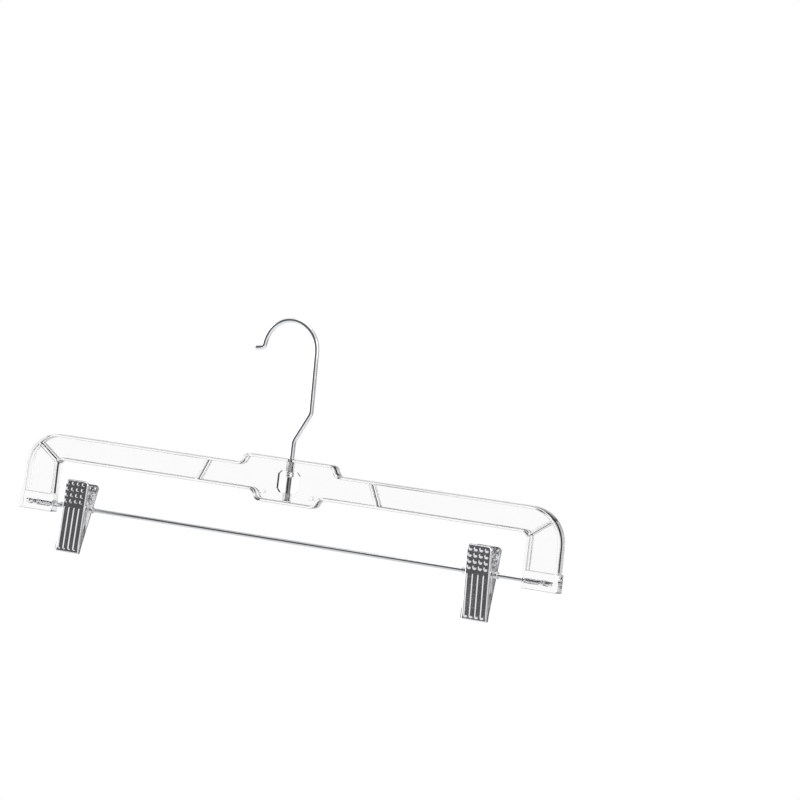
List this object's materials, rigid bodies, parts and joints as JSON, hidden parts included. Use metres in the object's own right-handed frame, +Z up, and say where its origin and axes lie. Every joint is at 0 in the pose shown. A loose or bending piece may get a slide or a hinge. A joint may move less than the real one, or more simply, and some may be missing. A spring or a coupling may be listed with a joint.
{
  "type": "skirt hanger",
  "caption": "Clear moulded skirt hanger with a swivelling wire hook and sprung metal clips that slide and swing on a steel rod.",
  "frame": {"origin": "the hook's seat on its rail: the underside of the wire at the top of its arc", "axes": "+X along the clip rod towards the right clip, +Y to the back, +Z up"},
  "size_m": [0.3546, 0.0161, 0.1536],
  "materials": {
    "clear_plastic": "clear, glossy moulded polystyrene",
    "hook_steel": "bright plated wire",
    "rod_steel": "bright plated rod",
    "jaw_steel": "bright plated pressed sheet",
    "spring_steel": "drawn spring wire",
    "tube_steel": "rolled thin tube",
    "pad_vinyl": "milky clear soft vinyl"
  },
  "bodies": {
    "hook": {"hook_wire": "hook_steel", "hook_collar": "hook_steel"},
    "frame": {"hanger_body": "clear_plastic", "clip_rod": "rod_steel"},
    "left_slider": {"left_pivot_tube": "tube_steel"},
    "left_clip": {"left_rear_jaw": "jaw_steel", "left_spring": "spring_steel", "left_rear_pad": "pad_vinyl"},
    "left_lever": {"left_front_jaw": "jaw_steel", "left_front_pad": "pad_vinyl"},
    "right_slider": {"right_pivot_tube": "tube_steel"},
    "right_clip": {"right_rear_jaw": "jaw_steel", "right_spring": "spring_steel", "right_rear_pad": "pad_vinyl"},
    "right_lever": {"right_front_jaw": "jaw_steel", "right_front_pad": "pad_vinyl"}
  },
  "joints": [
    {"name": "hook_swivel", "type": "hinge", "parent": "hook", "child": "frame", "pos_m": [0.0092, 0, -0.0771], "axis": [0, 0, 1], "continuous": true},
    {"name": "left_clip_slide", "type": "slide", "parent": "frame", "child": "left_slider", "axis": [1, 0, 0], "range_m": [-0.0042, 0.1279]},
    {"name": "left_clip_swing", "type": "hinge", "parent": "left_slider", "child": "left_clip", "pos_m": [-0.13025, 0, -0.124], "axis": [1, 0, 0], "range_deg": [-108.5, 131.5]},
    {"name": "left_jaw_open", "type": "hinge", "parent": "left_clip", "child": "left_lever", "pos_m": [-0.13025, 0, -0.124], "axis": [-1, 0, 0], "range_deg": [0, 28], "stiffness_Nm_per_rad": 0.3, "deforming": ["left_spring"]},
    {"name": "right_clip_slide", "type": "slide", "parent": "frame", "child": "right_slider", "axis": [1, 0, 0], "range_m": [-0.1164, 0.0157]},
    {"name": "right_clip_swing", "type": "hinge", "parent": "right_slider", "child": "right_clip", "pos_m": [0.13715, 0, -0.124], "axis": [1, 0, 0], "range_deg": [-117.5, 122.5]},
    {"name": "right_jaw_open", "type": "hinge", "parent": "right_clip", "child": "right_lever", "pos_m": [0.13715, 0, -0.124], "axis": [-1, 0, 0], "range_deg": [0, 28], "stiffness_Nm_per_rad": 0.3, "deforming": ["right_spring"]}
  ]
}
